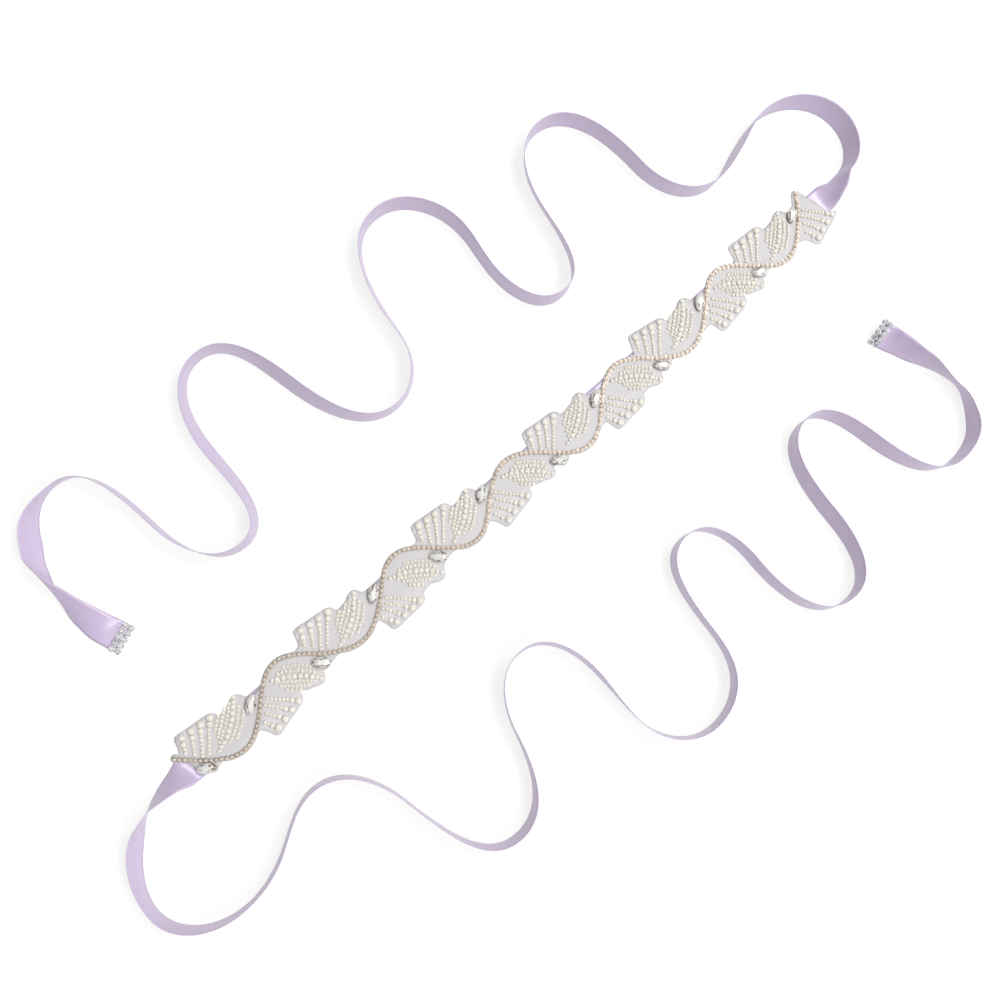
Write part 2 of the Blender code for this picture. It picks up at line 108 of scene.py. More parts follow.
def finish_piece(name, bm, finish, replaced=(), smooth=True):
    """Turns a bmesh into a piece of the sash that stands for these solids."""
    # every face keeps a random painted glint, the painted light and shade of the facets of cut stones and
    # their foil, and level facets are always painted light
    painted_glint = bm.faces.layers.float.new("painted_glint")
    for face in bm.faces:
        face.smooth = smooth
        face[painted_glint] = dice.uniform(0.5, 1) if face.normal.z > LEVEL else dice.random()
    mesh = to_mesh(name, bm)
    mesh.materials.append(finish)
    piece = add_object(name, mesh)
    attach(piece, "root")
    if replaced:
        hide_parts(*replaced)
    print(f"{name}: {len(mesh.polygons)} faces")
    return piece


# %% [markdown]
# Pearls and stones repeat hundreds of times, so each kind is modelled once as a small pattern mesh and
# stamped into its piece wherever it is sewn on.

# %% Helper: stamp a pattern
def stamp(bm, mesh, matrix):
    """Adds a copy of the pattern at this matrix."""
    copy = mesh.copy()
    copy.transform(matrix)
    bm.from_mesh(copy)
    bpy.data.meshes.remove(copy)


def stand(point, turn=0.0, tip=0.0, size=1.0):
    """Matrix of something that stands on the net here, turned about the vertical and tipped a little."""
    turned = Matrix.Rotation(turn, 4, "Z") @ Matrix.Rotation(tip, 4, "X")
    return Matrix.Translation(point) @ turned @ Matrix.Scale(size, 4)


# %% [markdown]
# ## Finishes
#
# Two effects are node groups, so that a finish can place one with its own values. The first gives the fine
# ribs of woven threads: a strong wave across the warp and a weak one across the weft, added up, as a height
# for a Bump node. The second is slow, uneven change, as dye, polish and handling leave on cloth, beads and
# metal alike.

# %% Node tools
def new_group(name, result, **numbers):
    """A node group of a vector and these numbers, with one result: itself, its start and its end."""
    group = bpy.data.node_groups.new(name, "ShaderNodeTree")
    group.interface.new_socket("Vector", in_out="INPUT", socket_type="NodeSocketVector")
    for key, value in numbers.items():
        group.interface.new_socket(key, in_out="INPUT", socket_type="NodeSocketFloat").default_value = value
    group.interface.new_socket(result, in_out="OUTPUT", socket_type="NodeSocketFloat")
    return group, group.nodes.new("NodeGroupInput"), group.nodes.new("NodeGroupOutput")


def add_node(tree, kind, inputs=(), **settings):
    """A node with its settings, and its inputs set or linked: (name or number, value or socket)."""
    node = tree.nodes.new(kind)
    for key, value in settings.items():
        setattr(node, key, value)
    for key, value in inputs:
        if isinstance(value, bpy.types.NodeSocket):
            tree.links.new(value, node.inputs[key])
        else:
            node.inputs[key].default_value = value
    return node


def sums(tree, operation, *values):
    """A Math node's result."""
    return add_node(tree, "ShaderNodeMath", list(enumerate(values)), operation=operation).outputs[0]


WARP_SHARE = 0.85  # of the ribs' height, and the weft gives the rest


def thread_group():
    """Ribs of warp and weft: height from 0 to 1, from a vector in metres and threads per metre."""
    group, start, end = new_group("thread_ribs", "Height", Warp=2500.0, Weft=3500.0)
    parts = add_node(group, "ShaderNodeSeparateXYZ", [(0, start.outputs["Vector"])])
    waves = []
    for axis, count in (("X", "Warp"), ("Y", "Weft")):
        turns = sums(group, "MULTIPLY", parts.outputs[axis], start.outputs[count])
        angle = sums(group, "MULTIPLY", turns, math.tau)
        waves.append(sums(group, "MULTIPLY_ADD", sums(group, "SINE", angle), 0.5, 0.5))
    weft = sums(group, "MULTIPLY", waves[1], 1 - WARP_SHARE)
    height = sums(group, "MULTIPLY_ADD", waves[0], WARP_SHARE, weft)
    group.links.new(height, end.inputs["Height"])
    return group


def drift_group():
    """Slow uneven change from Low to High, which noise between 0.3 and 0.7 is spread over."""
    group, start, end = new_group("slow_drift", "Value", Scale=40.0, Low=0.0, High=1.0)
    cloud = add_node(
        group, "ShaderNodeTexNoise", [("Vector", start.outputs["Vector"]), ("Scale", start.outputs["Scale"])]
    )
    fit = add_node(group, "ShaderNodeMapRange", [
        ("Value", cloud.outputs["Fac"]), ("From Min", 0.3), ("From Max", 0.7),
        ("To Min", start.outputs["Low"]), ("To Max", start.outputs["High"]),
    ])
    group.links.new(fit.outputs["Result"], end.inputs["Value"])
    return group


THREADS, DRIFT = thread_group(), drift_group()


def drift(tree, vector, scale, low, high):
    """The drift group's value, placed in a material."""
    node = add_node(tree, "ShaderNodeGroup", node_tree=DRIFT)
    tree.links.new(vector, node.inputs["Vector"])
    for name, value in (("Scale", scale), ("Low", low), ("High", high)):
        node.inputs[name].default_value = value
    return node.outputs["Value"]


def new_finish(name, **plain):
    """A Principled material with these plain values, its node tree and its shader."""
    made = bpy.data.materials.new(name)
    made.use_nodes = True
    shader = made.node_tree.nodes["Principled BSDF"]
    for key, value in plain.items():
        shader.inputs[key.replace("_", " ")].default_value = value
    return made, made.node_tree, shader


def blend_colours(tree, factor, one, two):
    """A mix of two colours, whose inputs are found by kind: the Mix node has a set for each kind of data."""
    mix = add_node(tree, "ShaderNodeMix", data_type="RGBA")
    for key, kind, value in (("Factor", "VALUE", factor), ("A", "RGBA", one), ("B", "RGBA", two)):
        target = next(s for s in mix.inputs if s.name == key and s.type == kind)
        if isinstance(value, bpy.types.NodeSocket):
            tree.links.new(value, target)
        else:
            target.default_value = (*value, 1.0)
    return next(s for s in mix.outputs if s.type == "RGBA")


print("Node groups:", THREADS.name, DRIFT.name)

# %% [markdown]
# Satin is a weave of long floats, so light slides along it: it is smooth, with a soft sheen and very fine
# ribs across. The pattern follows the cloth through the ribbon's own map, in metres across and along. A
# band at each edge is the selvedge, woven tighter and therefore less glossy.

# %% Finish: lilac satin
LILAC, LILAC_SHADE = (0.55, 0.45, 0.63), (0.50, 0.407, 0.572)
STREAKS = (900.0, 18.0, 1.0)  # per metre across and along the cloth
SELVEDGE_FROM, SELVEDGE_TO = 0.00715, 0.0073  # metres from the middle line
GLOSSY, WORN, SELVEDGE_DULL = 0.29, 0.36, 0.12  # roughness, and what the selvedge adds
RIB_DEPTH = 0.000015
satin, tree, shader = new_finish(
    "lilac_satin", Specular_IOR_Level=0.8,
    Sheen_Weight=0.1, Sheen_Roughness=0.35, Sheen_Tint=(0.93, 0.88, 1.0, 1.0),
)
cloth_map = add_node(tree, "ShaderNodeUVMap", uv_map="cloth").outputs["UV"]
stretched = add_node(tree, "ShaderNodeMapping", [("Vector", cloth_map), ("Scale", STREAKS)])
streak = drift(tree, stretched.outputs["Vector"], 1.0, 0.0, 0.55)
across = add_node(tree, "ShaderNodeSeparateXYZ", [(0, cloth_map)]).outputs["X"]
from_middle = sums(tree, "ABSOLUTE", across)
selvedge = add_node(tree, "ShaderNodeMapRange", [
    ("Value", from_middle), ("From Min", SELVEDGE_FROM), ("From Max", SELVEDGE_TO),
]).outputs["Result"]
tree.links.new(blend_colours(tree, streak, LILAC, LILAC_SHADE), shader.inputs["Base Color"])
worn = drift(tree, cloth_map, 25.0, GLOSSY, WORN)
tree.links.new(sums(tree, "MULTIPLY_ADD", selvedge, SELVEDGE_DULL, worn), shader.inputs["Roughness"])
ribs = add_node(tree, "ShaderNodeGroup", [("Warp", 3300.0), ("Weft", 1200.0)], node_tree=THREADS)
tree.links.new(cloth_map, ribs.inputs["Vector"])
bump = add_node(tree, "ShaderNodeBump", [
    ("Height", ribs.outputs["Height"]), ("Distance", RIB_DEPTH), ("Strength", 0.7),
])
tree.links.new(bump.outputs["Normal"], shader.inputs["Normal"])
print(satin.name, "with", len(tree.nodes), "nodes")

# %% [markdown]
# The net is fine tulle over a sheer backing. Six-sided holes come from three waves set 120 degrees apart:
# where their sum is low there is thread, and where it is high there is a hole that shows the backing only.

# %% Finish: net
BACKING, NET_THREAD = (0.57, 0.555, 0.565), (0.61, 0.59, 0.60)
BACKING_COVER, THREAD_COVER = 0.80, 0.93  # how much of the light they stop
NET_DEPTH = 0.00003


def tulle_group():
    """Thread mask of a net with six-sided holes, from a vector in metres and the pitch of the holes."""
    group, start, end = new_group("tulle_holes", "Thread", Pitch=0.0009)
    total = None
    for angle in (0, 120, 240):
        way = (math.cos(math.radians(angle)), math.sin(math.radians(angle)), 0.0)
        along = add_node(
            group, "ShaderNodeVectorMath", [(0, start.outputs["Vector"]), (1, way)], operation="DOT_PRODUCT"
        ).outputs["Value"]
        turns = sums(group, "DIVIDE", along, start.outputs["Pitch"])
        wave = sums(group, "COSINE", sums(group, "MULTIPLY", turns, 2 * math.tau / math.sqrt(3)))
        total = wave if total is None else sums(group, "ADD", total, wave)
    fit = add_node(group, "ShaderNodeMapRange", [("Value", total), ("From Min", 0.6), ("From Max", -0.3)])
    group.links.new(fit.outputs["Result"], end.inputs["Thread"])
    return group


TULLE = tulle_group()
net_finish, tree, shader = new_finish("sheer_net", Roughness=0.6, Sheen_Weight=0.2)
coords = add_node(tree, "ShaderNodeTexCoord").outputs["Object"]
holes = add_node(tree, "ShaderNodeGroup", node_tree=TULLE)
tree.links.new(coords, holes.inputs["Vector"])
thread = holes.outputs["Thread"]
tree.links.new(blend_colours(tree, thread, BACKING, NET_THREAD), shader.inputs["Base Color"])
cover = add_node(tree, "ShaderNodeMapRange", [
    ("Value", thread), ("To Min", BACKING_COVER), ("To Max", THREAD_COVER),
])
tree.links.new(cover.outputs["Result"], shader.inputs["Alpha"])
bump = add_node(tree, "ShaderNodeBump", [("Height", thread), ("Distance", NET_DEPTH), ("Strength", 0.25)])
tree.links.new(bump.outputs["Normal"], shader.inputs["Normal"])
print(net_finish.name, "with", len(tree.nodes), "nodes")

# %% [markdown]
# Pearls are milky glass under a clear skin, so light spreads inside them and the skin is a coat. Sheen
# brightens their rounded edges. Seed beads are finished in the same way and are a little warmer. Both vary
# from bead to bead, which noise at about the size of a bead gives.

# %% Finishes: pearls and seed beads
BEAD_ROUGH = 0.37


def bead_finish(name, light, dark, scale):
    """Milky glass between two creams, with so many changes a metre."""
    made, tree, shader = new_finish(
        name, Coat_Weight=0.35, Coat_Roughness=0.14, Coat_IOR=1.8,
        Subsurface_Weight=0.9, Subsurface_Scale=0.003, Subsurface_Radius=(1.0, 0.9, 0.8),
        Sheen_Weight=1.0, Sheen_Roughness=0.8, Sheen_Tint=(1.0, 0.97, 0.9, 1.0),
    )
    coords = add_node(tree, "ShaderNodeTexCoord").outputs["Object"]
    cream = blend_colours(tree, drift(tree, coords, scale, 0.0, 1.0), light, dark)
    tree.links.new(cream, shader.inputs["Base Color"])
    rough = drift(tree, coords, scale * 1.7, BEAD_ROUGH * 0.8, BEAD_ROUGH * 1.2)
    tree.links.new(rough, shader.inputs["Roughness"])
    return made


pearl_finish = bead_finish("cream_pearl", (0.655, 0.625, 0.555), (0.59, 0.555, 0.485), 260.0)
seed_finish = bead_finish("cream_seed_bead", (0.67, 0.62, 0.535), (0.585, 0.525, 0.44), 420.0)
print("Beads:", pearl_finish.name, seed_finish.name)

# %% [markdown]
# A cut stone is bright where a facet throws a light back and dark where it doesn't. Tracing that through
# stones of a few millimetres gives dark, blurred spots, so that light and shade is painted: each facet keeps
# a painted glint in the mesh, which picks its place between a dark and a light colour, and the glass is only
# partly clear. The mirror foil under the crystals is painted facet by facet in the same way. The champagne
# stones of the chain are the smallest and are opaque. Cups and claws are pale gold on the net and silver at
# the tips, uneven where they were polished.

# %% Finishes: stones and claws
def painted_facet_glint(tree, low, high):
    """0 to 1 from the painted glint each facet keeps with the mesh: its painted light and shade."""
    painted_glint = add_node(tree, "ShaderNodeAttribute", attribute_name="painted_glint").outputs["Fac"]
    fit = add_node(tree, "ShaderNodeMapRange", [("Value", painted_glint), ("From Min", low), ("From Max", high)])
    return fit.outputs["Result"]


def stone_finish(name, light, dark, clearness, rough, glint_limits):
    """Cut glass. Facets below the first glint limit are painted dark, and past the second painted light."""
    made, tree, shader = new_finish(name, Roughness=rough, IOR=1.6, Transmission_Weight=clearness)
    tree.links.new(blend_colours(tree, painted_facet_glint(tree, *glint_limits), dark, light), shader.inputs["Base Color"])
    return made


def metal_finish(name, light, dark, rough, faceted=False):
    """Polished metal that changes slowly from place to place, or has painted light and shade facet by facet.
    """
    made, tree, shader = new_finish(name, Metallic=1.0)
    coords = add_node(tree, "ShaderNodeTexCoord").outputs["Object"]
    share = painted_facet_glint(tree, 0.1, 0.5) if faceted else drift(tree, coords, 500.0, 1.0, 0.0)
    tree.links.new(blend_colours(tree, share, dark, light), shader.inputs["Base Color"])
    tree.links.new(drift(tree, coords, 900.0, rough * 0.7, rough * 1.3), shader.inputs["Roughness"])
    return made


# light and dark of each stone are the painted highlight and painted shade of its facets
clear_stone = stone_finish("clear_stone", (0.85, 0.85, 0.82), (0.26, 0.21, 0.165), 0.25, 0.05, (0.1, 0.5))
tip_glass = stone_finish("tip_glass", (0.95, 0.95, 0.97), (0.42, 0.40, 0.43), 0.5, 0.05, (0.1, 0.6))
champagne_stone = stone_finish(
    "champagne_stone", (0.66, 0.61, 0.545), (0.42, 0.355, 0.29), 0.0, 0.35, (0.1, 0.9)
)
# the foil's facets are painted light and dark, as painted reflections
foil = metal_finish("mirror_foil", (1.0, 1.0, 0.98), (0.40, 0.34, 0.29), 0.35, True)
gold = metal_finish("pale_gold", (0.56, 0.47, 0.375), (0.34, 0.27, 0.21), 0.42)
silver = metal_finish("silver_cup", (0.90, 0.90, 0.91), (0.66, 0.66, 0.69), 0.42)
print(len(bpy.data.materials), "finishes so far")

# %% [markdown]
# ## The ribbon
#
# A ribbon that stands on its edge can only bend about a line that runs straight across it, so its path is
# drawn on the table and the strip is stood along it. Each row of these tables is a place on that path:
# where it is, where it heads, and how far its upper edge leans to the left of that heading. A lean of 0
# stands on edge and 90 lies flat. Skew says how far the upper edge runs ahead of the lower one, in ribbon
# widths, which lets the ribbon fold over along a slant near its upper tip. The upper tail starts at the
# net's right end, the lower tail at its left end.

# %% The route of both tails
Row = namedtuple("Row", "x y heading lean skew", defaults=(0,))
UPPER_TAIL = [
    Row(262, 4.2, 0, -90), Row(272, 5.2, 2, -42), Row(283, 8.4, 6, -12), Row(302.3, 31, 87, -11),
    Row(265, 65.3, 180, 0), Row(241, 59.2, 197, 9), Row(217, 53.2, 180, 2), Row(188, 90, 91, -1),
    Row(158, 142.8, 180, -3), Row(128.3, 105, 261, -14), Row(104, 62.4, 180, -3), Row(82, 100, 86, -3),
    Row(84.5, 131, 97, -6), Row(54, 163.2, 180, -4), Row(21, 120, 261, -15), Row(14.5, 90, 240, -10),
    Row(-9, 75.2, 180, -2), Row(-44.5, 125, 101, -17), Row(-71, 164.2, 180, -2), Row(-99.8, 120, 268, -21),
    Row(-119, 72.4, 180, -6), Row(-146, 108, 96, 6), Row(-171, 160.2, 180, 6), Row(-198, 145, 243, -30),
    Row(-202.9, 136.1, 250, -25, -0.55), Row(-206.2, 119.7, 267, 5, -1.1), Row(-205.6, 110, 280, 39, -0.8),
    Row(-204, 101.6, 283, 53, -0.45), Row(-200.6, 88.3, 288, 80), Row(-198.3, 81.7, 289, 90),
    Row(-196.3, 76, 289, 90),
]
LOWER_TAIL = [
    Row(-214, 4.2, 180, 90), Row(-224, 4.6, 182, 42), Row(-234, 4, 189, 22), Row(-243, 2.2, 205, 4),
    Row(-259, -7.6, 224, -20), Row(-272.9, -35, 263, -7), Row(-239, -67.4, 358, -1),
    Row(-208, -59.5, 29, -5), Row(-177, -46.3, 0, -3), Row(-144.8, -83, 280, 1), Row(-113, -138, 0, -3),
    Row(-79.5, -99, 75, 2), Row(-50, -67.8, 0, 8), Row(-25, -108, 269, -1), Row(-25.3, -138, 274, -6),
    Row(4, -169.3, 0, 3), Row(29, -158, 52, 5), Row(37.8, -127, 86, 4), Row(61, -83.2, 0, 3),
    Row(82, -119, 267, 2), Row(110, -172, 0, 6), Row(134, -129, 88, -8), Row(159, -82, 0, 5),
    Row(183, -117, 282, 8), Row(214, -158.9, 0, -3), Row(235.9, -151.3, 48, 0), Row(242.7, -140.5, 64, 9),
    Row(245.4, -127.3, 100, 20), Row(239.7, -102.2, 113, -14), Row(235.2, -86.5, 109, -40),
    Row(233.6, -79.6, 109, -56), Row(231.9, -74.1, 110, -56),
]
STEP = 1.6  # mm of ribbon from one row of the sheet to the next
CURVE_OVER_CHORD = 1.15  # about how much longer the way from row to row is than a straight line
Stand = namedtuple("Stand", "point heading lean skew")  # a place on the route: point and heading as vectors


def course(degrees):
    """Unit vector of a heading on the table."""
    return Vector((math.cos(math.radians(degrees)), math.sin(math.radians(degrees)), 0))


def steady_slopes(values):
    """Slopes at each value that never overshoot, 0 where the values turn back."""
    steps = [b - a for a, b in zip(values, values[1:])]
    inner = [2 * a * b / (a + b) if a * b > 0 else 0.0 for a, b in zip(steps, steps[1:])]
    return [0.0, *inner, 0.0]


def run_between(one, two):
    """Evenly spaced enough points on the smooth curve from one row to the next."""
    start, end = Vector((one.x, one.y, 0)), Vector((two.x, two.y, 0))
    turn = math.remainder(math.radians(two.heading - one.heading), math.tau)
    reach = (end - start).length * 2 / 3 / (1 + math.cos(turn / 2))
    count = max(2, round((end - start).length * CURVE_OVER_CHORD / STEP)) + 1
    return interpolate_bezier(
        start, start + course(one.heading) * reach, end - course(two.heading) * reach, end, count
    )


def value_between(values, number, t):
    """The smooth curve through the values, a share t of the way past this number."""
    slopes = steady_slopes(values)
    return (
        values[number] * (1 + 2 * t) * (1 - t) ** 2 + slopes[number] * t * (1 - t) ** 2
        + values[number + 1] * t * t * (3 - 2 * t) + slopes[number + 1] * t * t * (t - 1)
    )


def tail_stands(rows):
    """All places of a tail, with headings, leans and skews between the rows'."""
    leans, skews = [math.radians(row.lean) for row in rows], [row.skew for row in rows]
    points, tilts = [], []
    for number, (one, two) in enumerate(zip(rows, rows[1:])):
        run = run_between(one, two)
        for index, point in enumerate(run[:-1] if two is not rows[-1] else run):
            t = index / (len(run) - 1)
            points.append(point)
            tilts.append((value_between(leans, number, t), value_between(skews, number, t)))
    stands = []
    for index, point in enumerate(points):
        before, after = points[max(index - 1, 0)], points[min(index + 1, len(points) - 1)]
        stands.append(Stand(point, (after - before).normalized(), *tilts[index]))
    return stands


upper, lower = tail_stands(UPPER_TAIL), tail_stands(LOWER_TAIL)
print(f"{len(upper)} and {len(lower)} places on the tails")

# %% [markdown]
# The whole ribbon is one strip: back along the upper tail, through the flat middle, and out along the lower
# tail. It is cut as a flat grid, 16 mm wide, whose map is kept in metres for the weave. Then each row of
# the grid is moved to its place. Real satin is never dead straight across, so a slow noise cups it a little
# and lets the edges waver, by a third of a millimetre at most.

# %% Cut the ribbon flat
CLOTH_WALL = 0.35
UP = Vector((0, 0, 1))


def across_of(stand_at):
    """Unit vector from the lower edge of the ribbon to its upper edge."""
    return UP * math.cos(stand_at.lean) + UP.cross(stand_at.heading) * math.sin(stand_at.lean)


def middle_height(stand_at):
    """How high the ribbon's middle line is where its lower edge rests on the table."""
    wide, thick = abs(math.cos(stand_at.lean)), abs(math.sin(stand_at.lean))
    return (RIBBON_WIDTH * wide + CLOTH_WALL * thick) / 2


flat_length = FLAT_TO_X - FLAT_FROM_X
middle_count = round(flat_length / STEP)
flat_xs = [FLAT_TO_X - flat_length * n / middle_count for n in range(1, middle_count)]
flat_run = [Stand(Vector((x, RIBBON_Y, 0)), Vector((-1, 0, 0)), math.pi / 2, 0) for x in flat_xs]
# the upper tail is walked backwards, which swaps its left and right
back = [Stand(s.point, -s.heading, -s.lean, -s.skew) for s in reversed(upper)]
route = back + flat_run + lower
lengths = [0.0]
for one, two in zip(route, route[1:]):
    lengths.append(lengths[-1] + (two.point - one.point).length)
print(f"{len(route)} rows, {lengths[-1]:.0f} mm of ribbon")

COLUMNS = 10
strip = bmesh.new()
bmesh.ops.create_grid(strip, x_segments=COLUMNS, y_segments=len(route) - 1, size=0.5)
cloth_layer = strip.loops.layers.uv.new("cloth")
cells = {v: (round((v.co.x + 0.5) * COLUMNS), round((v.co.y + 0.5) * (len(route) - 1))) for v in strip.verts}
for face in strip.faces:
    for loop in face.loops:
        column, row = cells[loop.vert]
        loop[cloth_layer].uv = ((column / COLUMNS - 0.5) * RIBBON_WIDTH * MM, lengths[row] * MM)
print(f"Grid of {COLUMNS} by {len(route) - 1}")

# %% Lay it along the route
CUPPING, FLUTTER = 0.35, 0.15
CUP_LENGTH, FLUTTER_LENGTH = 45, 24  # mm of ribbon to a swell
SEWN_HALF = 260  # mm of ribbon from its middle to where it is fully loose
for vert, (column, row) in cells.items():
    here, share = route[row], column / COLUMNS - 0.5
    across = across_of(here)
    out = across.cross(here.heading)
    far = lengths[row]
    loose = min(1.0, abs(far - lengths[-1] / 2) / SEWN_HALF) ** 4
    cup = CUPPING * noise.noise(Vector((far / CUP_LENGTH, 3.1, 0))) * (4 * share * share - 0.4)
    waver = FLUTTER * noise.noise(Vector((far / FLUTTER_LENGTH, 7.7 * share, 5.0))) * abs(2 * share) ** 2
    slant = across + here.heading * here.skew
    off_middle = slant * (RIBBON_WIDTH * share) + out * (cup + waver) * loose
    point = here.point + UP * middle_height(here) + off_middle
    vert.co = place(point.x, point.y, max(point.z, CLOTH_WALL / 2))
ribbon = finish_piece(
    "satin_ribbon", strip, satin,
    ["ribbon_middle", *[f"tail_{side}_{n}" for side in ("upper", "lower") for n in range(1, 6)]],
)
thick = ribbon.modifiers.new("wall", "SOLIDIFY")
thick.thickness, thick.offset = CLOTH_WALL * MM, 0

# %% [markdown]
# ## The net
#
# The net is cut around the beadwork after the beads are sewn on, so its edge follows them: out around each
# fan, in behind it, around each leaf, and close along the chain of stones between them. These tables say
# where the beadwork stands. The chain crosses the ribbon's middle twelve times. Fans and leaves take turns
# above and below.

# %% Where the beadwork stands
Crossing = namedtuple("Crossing", "x y peak_y")  # of the middle line by the chain, and the swing after it
Spot = namedtuple("Spot", "x y tilt")
VINE_START, VINE_END = (-217.6, 12.9), (254.0, 17.2)
VINE = [
    Crossing(-208.3, 3.4, -7.8), Crossing(-168.3, 3.4, 15.8), Crossing(-128.3, 4.1, -6.8),
    Crossing(-83.8, 4.0, 16.0), Crossing(-44.3, 4.2, -7.8), Crossing(-4.3, 4.2, 13.9),
    Crossing(39.3, 0.2, -10.6), Crossing(79.0, 1.4, 13.0), Crossing(121.3, 0.4, -8.8),
    Crossing(163.3, 2.3, 14.6), Crossing(203.3, 2.4, -7.8), Crossing(242.9, 4.0, 0.0),
]
CRYSTALS = [
    Spot(-208.5, -1.8, 33), Spot(-170.8, 7.8, 38), Spot(-129.8, -0.8, 38), Spot(-85.6, 8.2, 38),
    Spot(-46.0, -0.6, 43), Spot(-5.6, 9.2, 37), Spot(39.5, -5.6, 33), Spot(78.8, 6.3, 30),
    Spot(121.5, -4.8, 33), Spot(163.3, 7.7, 42), Spot(203.5, -2.6, 27), Spot(242.5, 9.7, 35),
]
# a fan's place is its first large pearl, and its tilt is how the line of large pearls nears the chain
FANS = [
    Spot(-208.0, 18.5, 6), Spot(-168.5, -11.0, 12), Spot(-127.0, 19.0, 6.5), Spot(-86.5, -11.5, 0),
    Spot(-43.5, 19.0, 5), Spot(-4.0, -11.0, 8.5), Spot(37.0, 16.6, 5), Spot(80.5, -12.8, 2.5),
    Spot(120.5, 17.2, 8.5), Spot(166.0, -11.2, 6), Spot(202.6, 17.6, 3), Spot(246.0, -10.5, 16),
]
LEAVES = [
    Spot(-184.3, 6.5, 36), Spot(-145.5, 1.5, 40), Spot(-103.0, 6.3, 35), Spot(-61.5, -0.4, 36),
    Spot(-20.5, 6.5, 36), Spot(22.0, 0.5, 39), Spot(63.0, 5.0, 35), Spot(105.0, -1.0, 40),
    Spot(147.0, 5.5, 37), Spot(189.5, 0.0, 38), Spot(227.5, 6.5, 40),
]


def side_of(number):
    """1 where fan and leaf are above the middle line, -1 below."""
    return 1 if number % 2 == 0 else -1


def turned_by(point, degrees):
    """A point turned about the middle, as a vector."""
    x, y = point
    c, s = math.cos(math.radians(degrees)), math.sin(math.radians(degrees))
    return Vector((x * c - y * s, x * s + y * c))


def vine_at(number, share):
    """The chain's middle from crossing number to the next."""
    one, two = VINE[number], VINE[number + 1]
    swing = (one.peak_y - (one.y + two.y) / 2) * math.sin(math.pi * share)
    return Vector((one.x + share * (two.x - one.x), one.y + share * (two.y - one.y) + swing))


print(f"{len(FANS)} fans, {len(LEAVES)} leaves, {len(CRYSTALS)} crystals")

# %% [markdown]
# The cut edge is a loop of points around each of those, rounded by a curve through all of them.

# %% The cut edge
FAN_EDGE = (
    (-5.7, -5.6), (-4.5, -1.6), (-3.8, 1.4), (-1.5, 2.9), (5.8, 2.7), (11.8, 2.6), (17.2, 2.3), (20.0, 0.9),
    (21.8, -1.8),
)
LAST_FAN_EDGE = 7  # points of it that the last fan has, because the net ends there
LEAF_EDGE = ((1.5, 8.5), (4.2, 9.2), (7.2, 10.7), (10.4, 10.7), (12.5, 8.8), (13.8, 6.6))
CRYSTAL_ABOVE, CRYSTAL_BELOW = (2.5, 2.4), (1.5, 4.3)
VINE_EDGE, VINE_EDGE_POINTS = 1.6, 7
VINE_EDGE_FROM, VINE_EDGE_TO = 0.2, 0.76  # shares of the way between two crossings
LEFT_END = (
    (-213.2, 0.2), (-212.9, 4.2), (-214.6, 7.6), (-217.3, 10.2), (-219.2, 12.2), (-218.8, 14.6),
    (-216.4, 15.2),
)
RIGHT_END = (
    (266.2, -5.8), (263.4, -4.7), (261.4, -2.0), (260.2, 4.6), (258.2, 10.2), (256.7, 15.4), (256.0, 18.4),
    (253.6, 19.8), (251.0, 18.4), (247.8, 14.4),
)


def fan_edge(number):
    """Round the pearls of a fan."""
    side, fan = side_of(number), FANS[number]
    edge = FAN_EDGE[:LAST_FAN_EDGE] if number == len(FANS) - 1 else FAN_EDGE
    return [Vector((fan.x, fan.y)) + turned_by((x, y * side), -side * fan.tilt) for x, y in edge]


def leaf_edge(number):
    """Round a leaf and past the crystal at its tip."""
    side, leaf, crystal = side_of(number), LEAVES[number], CRYSTALS[number + 1]
    x, y = CRYSTAL_ABOVE if side > 0 else CRYSTAL_BELOW
    around = [Vector((leaf.x + a, leaf.y + b * side)) for a, b in LEAF_EDGE]
    return [*around, Vector((crystal.x + x, crystal.y + side * y))]


def vine_edge(number):
    """Along the outside of the chain where it swings past the middle line."""
    outside, found = -side_of(number), []
    for step in range(VINE_EDGE_POINTS):
        share = VINE_EDGE_FROM + (VINE_EDGE_TO - VINE_EDGE_FROM) * step / (VINE_EDGE_POINTS - 1)
        here = vine_at(number, share)
        ahead = (vine_at(number, share + 0.01) - here).normalized()
        found.append(here + Vector((-ahead.y, ahead.x)) * outside * VINE_EDGE)
    return found


print(len(FAN_EDGE) + len(LEAF_EDGE) + VINE_EDGE_POINTS, "points from one crossing to the next")

# %% [markdown]
# The net is one sheet. Its rounded edge is the loop that a smooth curve makes through those points. Inside
# it a staggered grid of points gives the cloth enough corners to sag from the ribbon, which lifts its
# middle, toward the table on both sides. A constrained triangulation joins them, and Solidify gives the
# thickness.

# %% Round the edge
EDGE_STEPS = 4


def rounded(points):
    """A closed Catmull-Rom curve through the points."""
    found = []
    for n, here in enumerate(points):
        before, after, later = points[n - 1], points[(n + 1) % len(points)], points[(n + 2) % len(points)]
        for step in range(EDGE_STEPS):
            t = step / EDGE_STEPS
            found.append(
                (2 * here + (after - before) * t + (2 * before - 5 * here + 4 * after - later) * t * t
                 + (3 * here - before - 3 * after + later) * t ** 3) / 2
            )
    return found


above, below = [], [Vector((CRYSTALS[0].x + CRYSTAL_BELOW[0], CRYSTALS[0].y - CRYSTAL_BELOW[1]))]
for number in range(len(FANS)):
    flowers, vines = (above, below) if side_of(number) > 0 else (below, above)
    flowers.extend(fan_edge(number))
    if number < len(LEAVES):
        flowers.extend(leaf_edge(number))
        vines.extend(vine_edge(number))
edge = rounded([*below, *map(Vector, RIGHT_END), *reversed(above), *reversed([Vector(p) for p in LEFT_END])])

